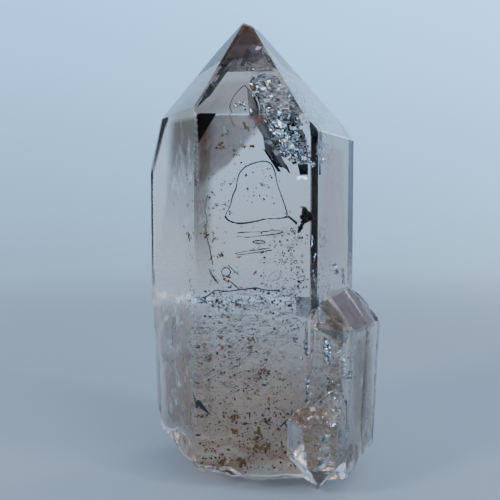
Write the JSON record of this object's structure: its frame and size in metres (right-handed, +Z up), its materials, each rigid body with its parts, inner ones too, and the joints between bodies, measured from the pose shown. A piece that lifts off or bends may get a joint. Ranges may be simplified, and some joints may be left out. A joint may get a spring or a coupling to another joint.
{
  "type": "smoky quartz scepter crystal",
  "caption": "Clear smoky quartz scepter: a six-sided crystal with a pyramid tip, smaller crystals grown on its lower right, and a broken base it stands on.",
  "frame": {"origin": "on the flat spot of the broken base, straight below the tip, on the main crystal's long axis", "axes": "+Z up along the main crystal's long axis, -Y out of its broad flat prism face, +X towards the side crystals"},
  "size_m": [0.0368, 0.0279, 0.0704],
  "materials": {
    "smoky_quartz": "clear natural crystal faces, faintly smoky, with rust-brown grains and veils inside"
  },
  "bodies": {
    "root": {"quartz_crystal": "smoky_quartz"}
  },
  "joints": []
}
